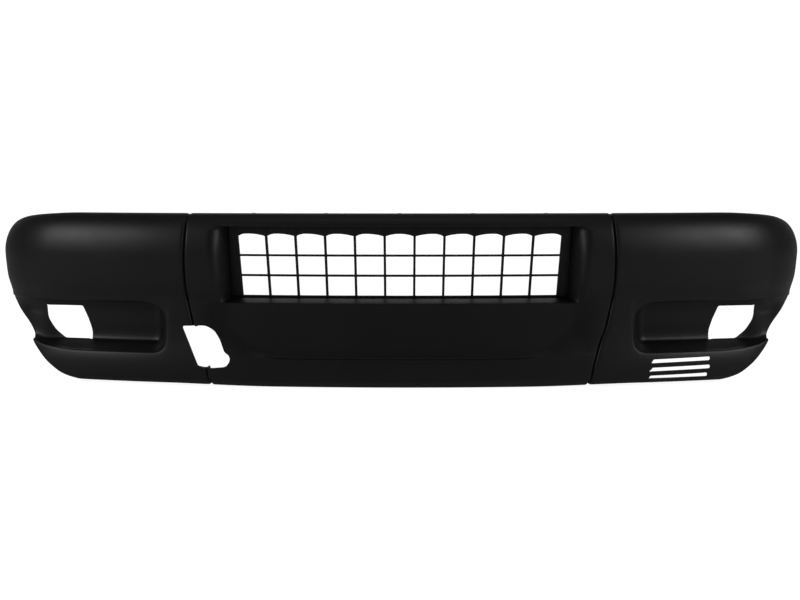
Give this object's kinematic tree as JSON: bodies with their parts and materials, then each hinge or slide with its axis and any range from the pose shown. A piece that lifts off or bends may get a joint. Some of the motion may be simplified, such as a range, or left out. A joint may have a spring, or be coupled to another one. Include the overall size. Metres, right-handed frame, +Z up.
{
  "type": "bumper cover",
  "caption": "Wide grained black bumper cover for a van's front, in joined mouldings, with a lattice grille, a number plate panel, lamp recesses and steel brackets behind.",
  "frame": {"origin": "middle of the bounding box in X and Y, at the cover's lower edge", "axes": "+X across the vehicle, to the right of someone facing its front; -Y is out of the front and +Y towards the vehicle; +Z is up"},
  "size_m": [1.9896, 0.42, 0.4],
  "materials": {
    "grained_polypropylene": "fine moulded grain, unpainted black",
    "black_coated_steel": "satin black coating",
    "zinc_plated_steel": "clear zinc plating"
  },
  "bodies": {
    "root": {"centre_cover": "grained_polypropylene", "grille_insert": "grained_polypropylene", "grille_screw_1": "zinc_plated_steel", "grille_screw_2": "zinc_plated_steel", "grille_screw_3": "zinc_plated_steel", "grille_screw_4": "zinc_plated_steel", "grille_screw_5": "zinc_plated_steel", "grille_screw_6": "zinc_plated_steel", "left_end_cap": "grained_polypropylene", "left_joint_bolt_1": "zinc_plated_steel", "left_joint_bolt_2": "zinc_plated_steel", "left_joint_bolt_3": "zinc_plated_steel", "left_joint_bolt_4": "zinc_plated_steel", "left_joint_bracket": "black_coated_steel", "left_joint_nut_1": "zinc_plated_steel", "left_joint_nut_2": "zinc_plated_steel", "left_joint_nut_3": "zinc_plated_steel", "left_joint_nut_4": "zinc_plated_steel", "left_lower_screw": "zinc_plated_steel", "left_lower_stay": "black_coated_steel", "left_side_screw_1": "zinc_plated_steel", "left_side_screw_2": "zinc_plated_steel", "left_side_strip": "black_coated_steel", "right_end_cap": "grained_polypropylene", "right_joint_bolt_1": "zinc_plated_steel", "right_joint_bolt_2": "zinc_plated_steel", "right_joint_bolt_3": "zinc_plated_steel", "right_joint_bolt_4": "zinc_plated_steel", "right_joint_bracket": "black_coated_steel", "right_joint_nut_1": "zinc_plated_steel", "right_joint_nut_2": "zinc_plated_steel", "right_joint_nut_3": "zinc_plated_steel", "right_joint_nut_4": "zinc_plated_steel", "right_lower_screw": "zinc_plated_steel", "right_lower_stay": "black_coated_steel", "right_side_screw_1": "zinc_plated_steel", "right_side_screw_2": "zinc_plated_steel", "right_side_strip": "black_coated_steel", "top_screw_1": "zinc_plated_steel", "top_screw_2": "zinc_plated_steel", "top_screw_3": "zinc_plated_steel", "top_screw_4": "zinc_plated_steel", "top_screw_5": "zinc_plated_steel", "top_stiffener": "black_coated_steel"}
  },
  "joints": []
}
